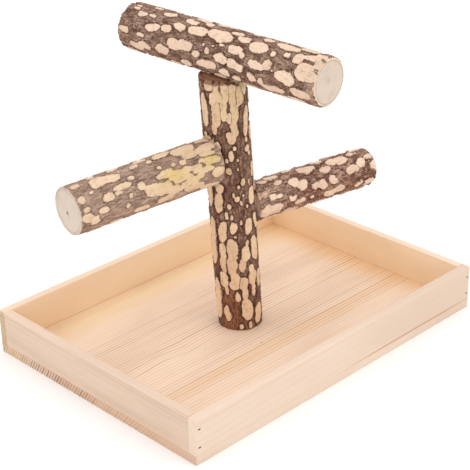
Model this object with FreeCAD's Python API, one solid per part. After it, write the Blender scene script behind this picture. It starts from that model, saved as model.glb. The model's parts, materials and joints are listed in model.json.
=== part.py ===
"""Parrot play stand: a shallow pine tray with a leaning branch post and three branch perches.

Millimetres. +Z is up, +X runs along the tray's length, and the origin is the middle of the
tray's underside. Each perch is a length of branch, bark left on and its knobs sanded down, and it
screws into the post on a hanger bolt. The post stands on one bolt through the tray's floor.
"""
import FreeCAD, Part
import math
import os

from FreeCAD import Placement, Rotation, Vector

os.makedirs("parts", exist_ok=True)

# ---- Tray: four side boards standing on a floor board -------------------------------------------
tray_length = 250.0
tray_width = 180.0
floor_thickness = 6.0
side_board_thickness = 6.0
side_board_height = 24.0
corner_round = 1.2
outer_top_bevel = 1.0
inner_top_bevel = 0.6

# ---- Brads: flat-wire nails with a T head, driven just below the surface -------------------------
brad_wire_width = 1.25
brad_wire_thickness = 1.0
brad_head_width = 2.0
brad_head_depth = 0.8
brad_point_length = 1.2
brad_set_below_face = 0.3
corner_brad_length = 18.0
floor_brad_length = 16.0
corner_brad_above_floor = 5.0
corner_brad_below_top = 7.0
floor_brads_per_long_side = 3
floor_brads_per_end = 2

# ---- Post: a branch that leans a little, cut level at its foot and near level at its top ----------
post_top_height = 175.4
post_lean = 2.8
post_lean_heading = 139.6
post_radius = 15.1
post_top_rim_bevel = 2.0

# ---- Perches: heights are where a perch's axis meets the post's, headings turn from +X towards +Y.
# A branch's radius is the distance from its axis to the sanded flats of its knobs.
top_perch_heading = -85.2
top_perch_slope = -1.7
top_perch_near_reach = 78.9
top_perch_far_reach = 72.1
top_perch_radius = 15.4
top_perch_end_bevel = 2.0
top_perch_seat_depth = 1.3

left_perch_height = 122.9
left_perch_heading = 172.5
left_perch_slope = -2.2
left_perch_length = 100.9
left_perch_radius = 15.3
left_perch_end_bevel = 1.4

right_perch_height = 86.6
right_perch_heading = -9.6
right_perch_slope = 0.0
right_perch_length = 94.9
right_perch_radius = 13.3
right_perch_end_bevel = 1.8

flank_seat_depth = 1.6

# ---- Bark: a skin on the wood, with raised knobs that are each sanded to a flat oval --------------
bark_thickness = 2.1
knob_height = 0.5
knob_length = 17.0
knob_width = 8.0
knob_corners = 6
knob_size_spread = 0.2
knob_lobe_depth = 0.12
bark_area_per_knob = 1400.0
knob_spiral_turn = 137.5

# ---- Screw joints -------------------------------------------------------------------------------
thread_radius = 3.0
insert_outer_radius = 5.0
insert_length = 13.0
insert_set_below_face = 0.4
bolt_in_insert_length = 16.0
hanger_wood_length = 26.0
hanger_point_length = 4.0
top_hanger_wood_length = 20.0
base_bolt_length = 25.0
base_bolt_head_radius = 7.5
base_bolt_head_height = 2.0
base_bolt_set_above_underside = 0.4
base_bolt_hex_across_flats = 4.0
base_bolt_hex_depth = 1.5

# ---- Clearances ---------------------------------------------------------------------------------
thread_clearance = 0.05
bolt_hole_clearance = 0.2
bolt_end_clearance = 1.0
seat_rim_clearance = 0.3

# ---- Helpers' own values: how far cutting shapes run past what they cut, and what counts as touching
overshoot = 5.0
touching = 0.01
up = Vector(0, 0, 1)


def direction(heading, slope):
    """Unit vector along a heading (degrees from +X towards +Y) that rises by a slope."""
    flat = math.cos(math.radians(slope))
    return Vector(
        flat * math.cos(math.radians(heading)),
        flat * math.sin(math.radians(heading)),
        math.sin(math.radians(slope)),
    )


def standing_along(shape, base, axis):
    """The shape, drawn along +Z from the origin, moved to stand on base and point along axis."""
    moved = shape.copy()
    moved.Placement = Placement(base, Rotation(up, axis)).multiply(shape.Placement)
    return moved


def box_between(low, high):
    """A box from its lowest to its highest corner."""
    size = high - low
    return Part.makeBox(size.x, size.y, size.z, low)


def revolved(corners):
    """A turned solid from (radius, height) corners."""
    wire = Part.makePolygon([Vector(radius, 0, height) for radius, height in corners + corners[:1]])
    return Part.Face(wire).revolve(Vector(0, 0, 0), up, 360)


def hexagon_wire(across_flats, height):
    """A hexagon round the Z axis."""
    corner_radius = across_flats / math.sqrt(3.0)
    corners = []
    for step in range(7):
        angle = math.radians(60 * step)
        corners.append(Vector(corner_radius * math.cos(angle), corner_radius * math.sin(angle), height))
    return Part.makePolygon(corners)


def hexagon_prism(across_flats, height, base_height):
    """A hexagonal prism on the Z axis."""
    return Part.Face(hexagon_wire(across_flats, base_height)).extrude(Vector(0, 0, height))


def save(node, shape):
    """Write one sub-part."""
    shape.exportStep("parts/" + node + ".step")


# ---- Branches -----------------------------------------------------------------------------------
def knob(radius, distance, angle, size, lobe_turn):
    """A raised knob: a lobed oval post out from the branch's axis, ending in its sanded flat."""
    outward = direction(angle, 0)
    around = up.cross(outward)
    corners = []
    for corner in range(knob_corners):
        turn = 2 * math.pi * corner / knob_corners
        lobe = size * (1 + knob_lobe_depth * math.sin(3 * turn + lobe_turn))
        along = knob_length / 2 * lobe * math.cos(turn)
        across = knob_width / 2 * lobe * math.sin(turn)
        corners.append(Vector(along, across, 0))
    post = Part.Face(Part.makePolygon(corners + corners[:1])).extrude(Vector(0, 0, radius))
    post.Placement = Placement(Vector(0, 0, distance), Rotation(up, around, outward, "ZXY"))
    return post


def knob_reach(radius):
    """How far the corners of the widest knob's flat stand from the axis of a branch."""
    return math.hypot(radius, knob_width / 2 * (1 + knob_size_spread) * (1 + knob_lobe_depth))


def knobs(radius, first, last):
    """The knobs between two distances along +Z, set round the branch on a spiral like leaf scars."""
    end_margin = knob_length / 2 * (1 + knob_size_spread) * (1 + knob_lobe_depth)
    run = last - first - 2 * end_margin
    count = max(2, round(2 * math.pi * radius * (last - first) / bark_area_per_knob))
    spiral = []
    for number in range(count):
        distance = first + end_margin + run * number / (count - 1)
        size = 1 + knob_size_spread * math.sin(2 * number)
        spiral.append(knob(radius, distance, number * knob_spiral_turn, size, number))
    return spiral


def plain_log(radius, length, start_bevel, end_bevel):
    """A length of branch along +Z with bevelled ends, without its knobs."""
    surface = radius - knob_height
    return revolved(
        [
            (0, 0),
            (surface - start_bevel, 0),
            (surface, start_bevel),
            (surface, length - end_bevel),
            (surface - end_bevel, length),
            (0, length),
        ]
    )


def branch_log(radius, length, start_bevel, end_bevel):
    """A length of branch along +Z with its bevelled ends and its knobs."""
    log = plain_log(radius, length, start_bevel, end_bevel)
    return log.multiFuse(knobs(radius, start_bevel, length - end_bevel))


def wood_core(radius, length):
    """What is under the bark: a rod along +Z that runs past both ends of the branch."""
    core_radius = radius - knob_height - bark_thickness
    return Part.makeCylinder(core_radius, length + 2 * overshoot, Vector(0, 0, -overshoot))


# ---- Screws, inserts and brads -------------------------------------------------------------------
def threaded_insert():
    """A threaded sleeve; its mouth is at the origin, facing +Z."""
    sleeve = Part.makeCylinder(insert_outer_radius, insert_length, Vector(0, 0, -insert_length))
    bore = Part.makeCylinder(thread_radius + thread_clearance, insert_length + 2 * overshoot)
    bore.translate(Vector(0, 0, -insert_length - overshoot))
    return sleeve.cut(bore)


def hanger_bolt(wood_length):
    """A headless bolt on the Z axis: machine thread below the origin, pointed wood thread above."""
    straight_length = bolt_in_insert_length + wood_length - hanger_point_length
    shank = Part.makeCylinder(thread_radius, straight_length, Vector(0, 0, -bolt_in_insert_length))
    point_base = wood_length - hanger_point_length
    hexagon = hexagon_wire(math.sqrt(3.0) * thread_radius, point_base)
    point = Part.makeLoft([hexagon, Part.Vertex(0, 0, wood_length)], True, True)
    return shank.fuse(point)


def base_bolt():
    """The wide flat-headed bolt that holds the post, its head let into the floor's underside."""
    head = Part.makeCylinder(base_bolt_head_radius, base_bolt_head_height)
    bolt = head.fuse(Part.makeCylinder(thread_radius, base_bolt_length))
    socket = hexagon_prism(base_bolt_hex_across_flats, base_bolt_hex_depth + overshoot, -overshoot)
    bolt = bolt.cut(socket)
    bolt.translate(Vector(0, 0, base_bolt_set_above_underside))
    return bolt


def brad(length, extra_above_head):
    """A flat-wire nail driven along +Z, with its head at the origin; the extra makes room above it."""
    half_head = brad_head_width / 2
    half_wire = brad_wire_width / 2
    outline = [
        (half_head, -extra_above_head),
        (half_head, brad_head_depth),
        (half_wire, brad_head_depth),
        (half_wire, length - brad_point_length),
        (0, length),
        (-half_wire, length - brad_point_length),
        (-half_wire, brad_head_depth),
        (-half_head, brad_head_depth),
        (-half_head, -extra_above_head),
    ]
    back = -brad_wire_thickness / 2
    corners = [Vector(across, back, along) for across, along in outline + outline[:1]]
    return Part.Face(Part.makePolygon(corners)).extrude(Vector(0, brad_wire_thickness, 0))


def brads(places, length):
    """The nails and the slots that they fill, at places given as (point on the face, way in)."""
    nails = []
    slots = []
    for point, way_in in places:
        head = point + way_in * brad_set_below_face
        nails.append(standing_along(brad(length, 0), head, way_in))
        slots.append(standing_along(brad(length, overshoot), head, way_in))
    return nails, slots


# ---- Tray ---------------------------------------------------------------------------------------
def corner_brad_places():
    """Two nails at each corner, through the long board's face into the end board's end grain."""
    tray_top = floor_thickness + side_board_height
    heights = (floor_thickness + corner_brad_above_floor, tray_top - corner_brad_below_top)
    across = tray_length / 2 - side_board_thickness / 2
    places = []
    for side in (-1, 1):
        for end in (-1, 1):
            for height in heights:
                face_point = Vector(end * across, side * tray_width / 2, height)
                places.append((face_point, Vector(0, -side, 0)))
    return places


def floor_brad_places():
    """Nails up through the floor into the lower edges of the side boards, evenly spaced."""
    places = []
    for side in (-1, 1):
        along_y = side * (tray_width - side_board_thickness) / 2
        for number in range(floor_brads_per_long_side):
            share = (number + 0.5) / floor_brads_per_long_side - 0.5
            places.append((Vector(share * tray_length, along_y, 0), up))
        along_x = side * (tray_length - side_board_thickness) / 2
        for number in range(floor_brads_per_end):
            share = (number + 0.5) / floor_brads_per_end - 0.5
            places.append((Vector(along_x, share * tray_width, 0), up))
    return places


def upright_edges(shape):
    """The shape's vertical edges."""
    return [edge for edge in shape.Edges if abs(edge.Vertexes[0].Z - edge.Vertexes[-1].Z) > overshoot]


def tray_frame():
    """All four side boards as one frame, its corners and upper edges sanded after it was joined."""
    half_length = tray_length / 2
    half_width = tray_width / 2
    tray_top = floor_thickness + side_board_height
    low = Vector(-half_length, -half_width, floor_thickness)
    frame = box_between(low, Vector(half_length, half_width, tray_top))
    frame = frame.makeFillet(corner_round, upright_edges(frame))
    rim = [edge for edge in frame.Edges if edge.BoundBox.ZMin > tray_top - touching]
    frame = frame.makeChamfer(outer_top_bevel, rim)
    inner = box_between(
        Vector(-half_length + side_board_thickness, -half_width + side_board_thickness, 0),
        Vector(half_length - side_board_thickness, half_width - side_board_thickness, tray_top),
    )
    mouth = [edge.CenterOfMass for edge in inner.Edges if edge.BoundBox.ZMin > tray_top - touching]
    inner_edges = []
    frame = frame.cut(inner)
    for edge in frame.Edges:
        if any(edge.CenterOfMass.distanceToPoint(middle) < touching for middle in mouth):
            inner_edges.append(edge)
    return frame.makeChamfer(inner_top_bevel, inner_edges)


def tray_floor():
    """The floor board, as wide as the frame that stands on it, bored for the post's bolt."""
    half_length = tray_length / 2
    half_width = tray_width / 2
    low = Vector(-half_length, -half_width, 0)
    board = box_between(low, Vector(half_length, half_width, floor_thickness))
    board = board.makeFillet(corner_round, upright_edges(board))
    hole = Part.makeCylinder(thread_radius + bolt_hole_clearance, floor_thickness)
    counterbore_depth = base_bolt_set_above_underside + base_bolt_head_height
    counterbore = Part.makeCylinder(base_bolt_head_radius + bolt_hole_clearance, counterbore_depth)
    return board.cut([hole, counterbore])


def build_tray():
    """The floor, the four side boards and the nails that hold them."""
    half_length = tray_length / 2
    half_width = tray_width / 2
    inner_half_width = half_width - side_board_thickness
    high = floor_thickness + side_board_height + overshoot
    corner_nails, corner_slots = brads(corner_brad_places(), corner_brad_length)
    floor_nails, floor_slots = brads(floor_brad_places(), floor_brad_length)
    slots = Part.makeCompound(corner_slots + floor_slots)
    frame = tray_frame()
    regions = {
        "front_board": (Vector(-half_length, -half_width, 0), Vector(half_length, -inner_half_width, high)),
        "back_board": (Vector(-half_length, inner_half_width, 0), Vector(half_length, half_width, high)),
        "left_end_board": (Vector(-half_length, -inner_half_width, 0), Vector(0, inner_half_width, high)),
        "right_end_board": (Vector(0, -inner_half_width, 0), Vector(half_length, inner_half_width, high)),
    }
    for node, (low, top) in regions.items():
        save(node, frame.common(box_between(low, top)).cut(slots))
    save("tray_floor", tray_floor().cut(slots))
    save("corner_brads", Part.makeCompound(corner_nails))
    save("floor_brads", Part.makeCompound(floor_nails))


# ---- Where the post and its perches meet ---------------------------------------------------------
post_axis = direction(post_lean_heading, 90.0 - post_lean)
post_foot = Vector(0, 0, floor_thickness)
post_length = (post_top_height - floor_thickness) / post_axis.z
post_top = post_foot + post_axis * post_length

top_perch_axis = direction(top_perch_heading, top_perch_slope)
top_bolt_axis = (up - top_perch_axis * up.dot(top_perch_axis)).normalize()
left_perch_axis = direction(left_perch_heading, left_perch_slope)
right_perch_axis = direction(right_perch_heading, right_perch_slope)


def flank_seat_centre(height, axis):
    """The middle of the flat that is bored into the post's side for a perch's end."""
    on_axis = post_foot + post_axis * ((height - floor_thickness) / post_axis.z)
    return on_axis + axis * (post_radius - flank_seat_depth)


left_seat = flank_seat_centre(left_perch_height, left_perch_axis)
right_seat = flank_seat_centre(right_perch_height, right_perch_axis)


def seat_bore(centre, outward, seated_radius):
    """The round bore, outward from a seat, that clears the knobs of the branch that lies on it."""
    bore_radius = knob_reach(seated_radius) + seat_rim_clearance
    return standing_along(Part.makeCylinder(bore_radius, 4 * overshoot), centre, outward)


def insert_room(mouth, outward, hole_depth):
    """The room in the wood for a threaded insert and for the bolt that runs through it."""
    around_insert = Part.makeCylinder(insert_outer_radius, insert_length + overshoot)
    around_insert.translate(Vector(0, 0, -insert_length))
    around_bolt = Part.makeCylinder(thread_radius + bolt_hole_clearance, hole_depth)
    around_bolt.translate(Vector(0, 0, -hole_depth))
    around_insert = standing_along(around_insert, mouth - outward * insert_set_below_face, outward)
    return [around_insert, standing_along(around_bolt, mouth, outward)]


# ---- Post ---------------------------------------------------------------------------------------
def trim_post(post):
    """Cut the post level at its foot and square to the top bolt at its top."""
    reach = 4 * post_radius
    low = Vector(-reach, -reach, floor_thickness - reach)
    below = box_between(low, Vector(reach, reach, floor_thickness))
    above = Part.makeBox(2 * reach, 2 * reach, reach, Vector(-reach, -reach, 0))
    return post.cut(below).cut(standing_along(above, post_top, top_bolt_axis))


def bevel_top_rim(post):
    """Bevel the rim of the post's top face."""
    rim = [edge for edge in post.Edges if edge.BoundBox.ZMin > post_top_height - post_top_rim_bevel]
    return post.makeChamfer(post_top_rim_bevel, rim)


def build_post():
    """The post's wood and bark and its four threaded inserts."""
    length = post_length + 2 * overshoot
    base = post_foot - post_axis * overshoot
    log = standing_along(plain_log(post_radius, length, 0, 0), base, post_axis)
    post_knobs = []
    for one in knobs(post_radius, 0, post_length - post_top_rim_bevel):
        post_knobs.append(standing_along(one, post_foot, post_axis))
    whole = bevel_top_rim(trim_post(log)).multiFuse(post_knobs)
    core = standing_along(wood_core(post_radius, length), base, post_axis)
    foot_bolt_depth = base_bolt_set_above_underside + base_bolt_length - floor_thickness
    inserts = {
        "post_foot_insert": (post_foot, -up, foot_bolt_depth),
        "post_top_insert": (post_top, top_bolt_axis, bolt_in_insert_length),
        "post_left_insert": (left_seat, left_perch_axis, bolt_in_insert_length),
        "post_right_insert": (right_seat, right_perch_axis, bolt_in_insert_length),
    }
    cuts = [
        seat_bore(left_seat, left_perch_axis, left_perch_radius),
        seat_bore(right_seat, right_perch_axis, right_perch_radius),
    ]
    for node, (mouth, outward, bolt_depth) in inserts.items():
        cuts += insert_room(mouth, outward, bolt_depth + bolt_end_clearance)
        save(node, standing_along(threaded_insert(), mouth - outward * insert_set_below_face, outward))
    whole = whole.cut(cuts)
    save("post_wood", whole.common(core))
    save("post_bark", whole.cut(core))


# ---- Perches ------------------------------------------------------------------------------------
def build_perch(name, log, radius, length, base, axis, bolt, cuts):
    """One perch: its wood, its bark, and the hanger bolt that screws it to the post."""
    whole = standing_along(log, base, axis).cut([bolt] + cuts)
    core = standing_along(wood_core(radius, length), base, axis)
    save(name + "_wood", whole.common(core))
    save(name + "_bark", whole.cut(core))
    save(name + "_bolt", bolt)


def build_top_perch():
    """The perch that lies across the post's top, on a flat bored into its underside."""
    length = top_perch_near_reach + top_perch_far_reach
    middle = post_top + top_bolt_axis * (top_perch_radius - top_perch_seat_depth)
    far_end = middle - top_perch_axis * top_perch_far_reach
    log = branch_log(top_perch_radius, length, top_perch_end_bevel, top_perch_end_bevel)
    bolt = standing_along(hanger_bolt(top_hanger_wood_length), post_top, top_bolt_axis)
    seat = seat_bore(post_top, -top_bolt_axis, post_radius)
    build_perch("top_perch", log, top_perch_radius, length, far_end, top_perch_axis, bolt, [seat])


def build_side_perch(name, seat, axis, radius, length, end_bevel):
    """A perch whose square-cut inner end lies on a flat in the post's side."""
    log = branch_log(radius, length, 0, end_bevel)
    bolt = standing_along(hanger_bolt(hanger_wood_length), seat, axis)
    build_perch(name, log, radius, length, seat, axis, bolt, [])


build_tray()
save("base_bolt", base_bolt())
build_post()
build_top_perch()
build_side_perch(
    "left_perch", left_seat, left_perch_axis, left_perch_radius, left_perch_length, left_perch_end_bevel
)
build_side_perch(
    "right_perch", right_seat, right_perch_axis, right_perch_radius, right_perch_length, right_perch_end_bevel
)
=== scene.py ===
# %% [markdown]
# # Dressing a parrot play stand
# The stand is a shallow pine tray with a leaning branch post and three branch perches. Its engineering
# model already holds every piece at its real size. This lesson adds what the model leaves out: the
# grain of the pine, the rough bark with its knobs sanded through to pale wood, and the sawn ends.
#
# The engineering pieces load as a fixed frame. They all come in selected, and an operator acts on
# whatever is selected, so the first habit is to deselect before making anything.

# %% Load the frame
import json
import math
import random

import bpy
import numpy as np
from mathutils import Matrix, Quaternion, Vector, noise


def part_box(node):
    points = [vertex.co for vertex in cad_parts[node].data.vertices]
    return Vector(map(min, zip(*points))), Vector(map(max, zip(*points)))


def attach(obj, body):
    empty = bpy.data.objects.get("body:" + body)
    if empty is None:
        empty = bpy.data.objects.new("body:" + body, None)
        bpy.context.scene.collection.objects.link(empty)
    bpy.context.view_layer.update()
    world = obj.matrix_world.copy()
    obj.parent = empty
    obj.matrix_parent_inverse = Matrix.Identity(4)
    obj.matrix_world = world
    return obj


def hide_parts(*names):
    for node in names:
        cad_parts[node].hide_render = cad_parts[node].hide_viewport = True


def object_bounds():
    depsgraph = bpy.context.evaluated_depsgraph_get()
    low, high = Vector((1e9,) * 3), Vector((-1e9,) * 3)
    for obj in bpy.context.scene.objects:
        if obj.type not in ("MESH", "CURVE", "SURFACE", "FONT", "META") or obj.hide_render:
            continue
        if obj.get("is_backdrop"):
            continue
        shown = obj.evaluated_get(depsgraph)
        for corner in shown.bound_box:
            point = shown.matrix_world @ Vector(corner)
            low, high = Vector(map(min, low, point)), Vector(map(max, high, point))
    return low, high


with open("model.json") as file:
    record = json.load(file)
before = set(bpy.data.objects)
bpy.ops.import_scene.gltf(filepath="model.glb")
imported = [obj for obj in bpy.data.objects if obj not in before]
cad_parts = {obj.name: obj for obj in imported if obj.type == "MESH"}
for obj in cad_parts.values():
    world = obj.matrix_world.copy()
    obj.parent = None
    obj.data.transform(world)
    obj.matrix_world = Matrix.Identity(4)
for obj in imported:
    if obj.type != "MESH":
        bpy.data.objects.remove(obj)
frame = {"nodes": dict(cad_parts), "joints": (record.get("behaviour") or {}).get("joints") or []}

MM = 0.001
engineering_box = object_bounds()
nodes = frame["nodes"]
joints = {joint["name"]: joint for joint in frame["joints"]}
print("the stand is", [round(1000 * side) for side in engineering_box[1] - engineering_box[0]], "mm")


# %% [markdown]
# ## The camera
# A photograph's viewpoint is a direction, a distance and a lens. The direction is given as an azimuth
# and an elevation round a point on the table, and the small roll is how far the picture is tipped.

# %% Set the camera at the photograph's angle
AZIMUTH = math.radians(-44.4534)
ELEVATION = math.radians(26.2378)
ROLL = math.radians(-1.0828)
CAMERA_DISTANCE = 1.01717
AIM = Vector((0.094194, 0.0995805, 0.0))
LENS = 104.86


def add_camera():
    """A camera that looks at the aim point from the photograph's direction."""
    back = Vector(
        (
            math.sin(AZIMUTH) * math.cos(ELEVATION),
            -math.cos(AZIMUTH) * math.cos(ELEVATION),
            math.sin(ELEVATION),
        )
    )
    camera = bpy.data.objects.new("camera", bpy.data.cameras.new("camera"))
    bpy.context.scene.collection.objects.link(camera)
    camera.location = AIM + back * CAMERA_DISTANCE
    camera.rotation_mode = "QUATERNION"
    camera.rotation_quaternion = (-back).to_track_quat("-Z", "Y") @ Quaternion((0, 0, 1), ROLL)
    camera.data.lens = LENS
    camera.data.sensor_width = 36
    camera.data.clip_start = 0.01
    return camera


bpy.context.scene.camera = add_camera()
print("camera at", [round(1000 * place) for place in bpy.context.scene.camera.location], "mm")


# %% [markdown]
# ## A finish is a network of nodes
# Blender's materials are networks of nodes. They could be wired one link at a time, but that is long
# and hard to read, so three small classes help. The first, `Signal`, wraps one output and lets
# ordinary arithmetic build the Math nodes.

# %% Arithmetic on the outputs of nodes
class Signal:
    """One output of a network. Arithmetic on it adds Math nodes."""

    def __init__(self, network, socket):
        self.network = network
        self.socket = socket

    def maths(self, operation, *others):
        return self.network.maths(operation, self, *others)

    def __add__(self, other):
        return self.maths("ADD", other)

    def __radd__(self, other):
        return self.network.maths("ADD", other, self)

    def __sub__(self, other):
        return self.maths("SUBTRACT", other)

    def __rsub__(self, other):
        return self.network.maths("SUBTRACT", other, self)

    def __mul__(self, other):
        return self.maths("MULTIPLY", other)

    def __rmul__(self, other):
        return self.network.maths("MULTIPLY", other, self)

    def __truediv__(self, other):
        return self.maths("DIVIDE", other)

    def __pow__(self, other):
        return self.maths("POWER", other)


print("a signal takes +, -, *, / and **, and any other Math operation by name")


# %% [markdown]
# The second class, `Network`, holds a tree and adds any other node through one method: first the
# node's settings, which can change its sockets, and then the values or signals that feed them. The
# world and the materials both use it.

# %% Adding any node
class Network:
    """A node tree under construction."""

    def __init__(self, tree):
        self.tree = tree

    def node(self, kind, settings, *values, output=0, **named):
        """Add a node: first its settings, then values or signals for its sockets, by order or name."""
        node = self.tree.nodes.new(kind)
        for key, value in settings.items():
            if key == "stops":
                self.set_stops(node.color_ramp, value)
            else:
                setattr(node, key, value)
        sockets = dict(enumerate(values))
        sockets.update({key.replace("_", " "): value for key, value in named.items()})
        for key, value in sockets.items():
            self.feed(node.inputs[key], value)
        return Signal(self, node.outputs[output])

    def feed(self, socket, value):
        """Link a signal to a socket, or set a plain value on it. A None leaves the socket alone."""
        if isinstance(value, Signal):
            self.tree.links.new(value.socket, socket)
        elif value is not None:
            socket.default_value = value

    def set_stops(self, ramp, stops):
        """Give a colour ramp its stops, each a place from 0 to 1 and a colour."""
        while len(ramp.elements) < len(stops):
            ramp.elements.new(1.0)
        for element, (place, colour) in zip(ramp.elements, stops):
            element.position = place
            element.color = colour

    def maths(self, operation, *values):
        """Numbers or signals through a Math node."""
        return self.node("ShaderNodeMath", {"operation": operation}, *values)

    def seen_directly(self):
        """1 for what the camera sees, also in a reflection or through glass, and 0 for light."""
        path = self.node("ShaderNodeLightPath", {})
        rays = [path.socket.node.outputs["Is " + kind + " Ray"] for kind in ("Glossy", "Transmission")]
        for ray in rays:
            path = path.maths("MAXIMUM", Signal(self, ray))
        return path


print("a network adds any node from its type, its settings and its sockets' values")


# %% [markdown]
# The third class, `Finish`, is the network of one material. It adds the few things that every finish
# here is made of: places in millimetres, noise, soft steps, ramps, mixed colours and a bump. Places
# are the piece's own coordinates, so a pattern moves with its piece when a joint turns.

# %% The parts that a finish is made of
class Finish(Network):
    """A material under construction."""

    def __init__(self, name):
        self.material = bpy.data.materials.new(name)
        self.material.use_nodes = True
        super().__init__(self.material.node_tree)
        self.shader = self.tree.nodes["Principled BSDF"]

    def set(self, **constants):
        """Set numbers and colours that are the same all over, on the shader's own sockets."""
        for name, value in constants.items():
            self.shader.inputs[name.replace("_", " ")].default_value = value

    def drive(self, name, signal):
        """Let a signal drive one of the shader's sockets."""
        self.tree.links.new(signal.socket, self.shader.inputs[name])

    def place(self, matrix=None):
        """The piece's own coordinates in millimetres, in the frame that the matrix gives."""
        point = self.node("ShaderNodeTexCoord", {}, output="Object")
        if matrix is not None:
            turn = matrix.inverted()
            place, angles = tuple(turn.translation), tuple(turn.to_euler())
            point = self.node("ShaderNodeMapping", {"vector_type": "POINT"}, point, place, angles)
        return self.stretch(point, (1000, 1000, 1000))

    def stretch(self, point, scale):
        """A vector with each side multiplied by its own number."""
        return self.node("ShaderNodeVectorMath", {"operation": "MULTIPLY"}, point, scale)

    def split(self, point):
        """The three sides of a vector."""
        outputs = self.node("ShaderNodeSeparateXYZ", {}, point).socket.node.outputs
        return [Signal(self, output) for output in outputs]

    def noise(self, point, scale, detail=2.0, roughness=0.5):
        """Soft noise from 0 to 1, mostly near 0.5."""
        return self.node(
            "ShaderNodeTexNoise",
            {"noise_dimensions": "3D"},
            Vector=point,
            Scale=scale,
            Detail=detail,
            Roughness=roughness,
        )

    def step(self, value, low, high):
        """A smooth step from 0 to 1 as the value goes from low to high."""
        settings = {"interpolation_type": "SMOOTHSTEP"}
        return self.node("ShaderNodeMapRange", settings, value, low, high)

    def ramp(self, value, stops):
        """A colour read off a ramp."""
        return self.node("ShaderNodeValToRGB", {"stops": stops}, value)

    def attribute(self, name):
        """A number stored on the mesh's points."""
        return self.node("ShaderNodeAttribute", {"attribute_name": name}, output="Fac")

    def mix(self, share, first, second):
        """Two colours mixed by a share. The five sockets between are for numbers and vectors."""
        unused = [None] * 5
        return self.node(
            "ShaderNodeMix", {"data_type": "RGBA"}, share, *unused, first, second, output=2
        )

    def relief(self, height, distance):
        """Give the shader a bump from a height signal; the distance is in metres."""
        bump = self.node("ShaderNodeBump", {}, Height=height, Distance=distance)
        self.drive("Normal", bump)


print("a finish is a network that ends in the Principled BSDF")


# %% [markdown]
# A colour is written as it reads on a screen, three numbers from 0 to 255. Nodes work in linear light,
# so one function turns the first into the second.

# %% Colours as they read on a screen
def paint(red, green, blue):
    """A colour as it reads on a screen, from 0 to 255, turned into the linear values that nodes use."""
    linear = []
    for part in (red, green, blue):
        share = part / 255
        linear.append(share / 12.92 if share <= 0.04045 else ((share + 0.055) / 1.055) ** 2.4)
    return (*linear, 1.0)


print("a mid grey of 128 is", round(paint(128, 128, 128)[0], 3), "in linear light")


# %% [markdown]
# ## Floor and light
# The stand was photographed in a white studio, where light comes from nearly everywhere. A white world
# does most of that work. One broad lamp overhead gives the branches their roundness, and a weaker one
# at the front right keeps the front of the tray the brightest side. Together they are set so that a
# colour renders about as it is written. The floor is pale, and only to the camera does it glow a
# little, so that the page turns white while the shadow stays.

# %% Make the floor and the lights
WORLD_STRENGTH = 1.05
OVERHEAD = {"watts": 2.6, "side": 2.0, "place": Vector((-0.1, -0.1, 1.4))}
FRONT = {"watts": 0.9, "side": 0.9, "place": Vector((0.5, -1.1, 0.8))}
FLOOR_GLOW = 0.1
FLOOR_SIZE = 8


def add_world():
    """A white world that lights evenly and is plain white to the camera and in reflections."""
    world = bpy.data.worlds.new("studio")
    bpy.context.scene.world = world
    world.use_nodes = True
    sky = Network(world.node_tree)
    background = world.node_tree.nodes["Background"]
    sky.feed(background.inputs["Color"], (1, 1, 1, 1))
    strength = WORLD_STRENGTH + sky.seen_directly() * (1 - WORLD_STRENGTH)
    sky.feed(background.inputs["Strength"], strength)


def add_lamp(name, watts, side, place):
    """A square soft box that looks at the middle of the tray."""
    data = bpy.data.lights.new(name, "AREA")
    data.energy = watts
    data.size = side
    lamp = bpy.data.objects.new(name, data)
    bpy.context.scene.collection.objects.link(lamp)
    lamp.location = place
    lamp.rotation_mode = "QUATERNION"
    lamp.rotation_quaternion = (-place).to_track_quat("-Z", "Y")


def add_floor():
    """A wide pale floor that keeps the stand's shadow."""
    bpy.ops.object.select_all(action="DESELECT")
    bpy.ops.mesh.primitive_plane_add(size=FLOOR_SIZE)
    floor = bpy.context.object
    floor.name = "studio_floor"
    finish = Finish("studio_floor")
    finish.set(Base_Color=paint(247, 247, 247), Roughness=0.9, Specular_IOR_Level=0.0)
    finish.set(Emission_Color=(1, 1, 1, 1))
    finish.drive("Emission Strength", finish.seen_directly() * FLOOR_GLOW)
    floor.data.materials.append(finish.material)
    floor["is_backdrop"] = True


add_world()
add_lamp("overhead_soft_box", **OVERHEAD)
add_lamp("front_soft_box", **FRONT)
add_floor()
bpy.context.scene.view_settings.view_transform = "Standard"
print("lamps of", OVERHEAD["watts"], "and", FRONT["watts"], "W over a world of", WORLD_STRENGTH)


# %% [markdown]
# ## Pine
# A pine board is a slice of a tree, so its pattern is solid: rings round the tree's heart, cut by the
# faces of the board. Painting lines on each face would not meet at the edges. Instead the finish works
# out how far each point is from the heart and draws a ring wherever that distance passes a whole number
# of ring widths. Long faces then show lines, and ends show arcs, as on the real board.

# %% Rings round the tree's heart
TRAY_LENGTH, TRAY_WIDTH = 250.0, 180.0
LATE_WOOD, NEXT_YEAR = (0.35, 0.85), (0.88, 1.0)


def evenly(*steps):
    """Stops of a ramp, spaced evenly from one edge of a board to the other."""
    colours = [step if isinstance(step, tuple) else (step, step, step, 1) for step in steps]
    return [(number / (len(steps) - 1), colour) for number, colour in enumerate(colours)]


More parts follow.
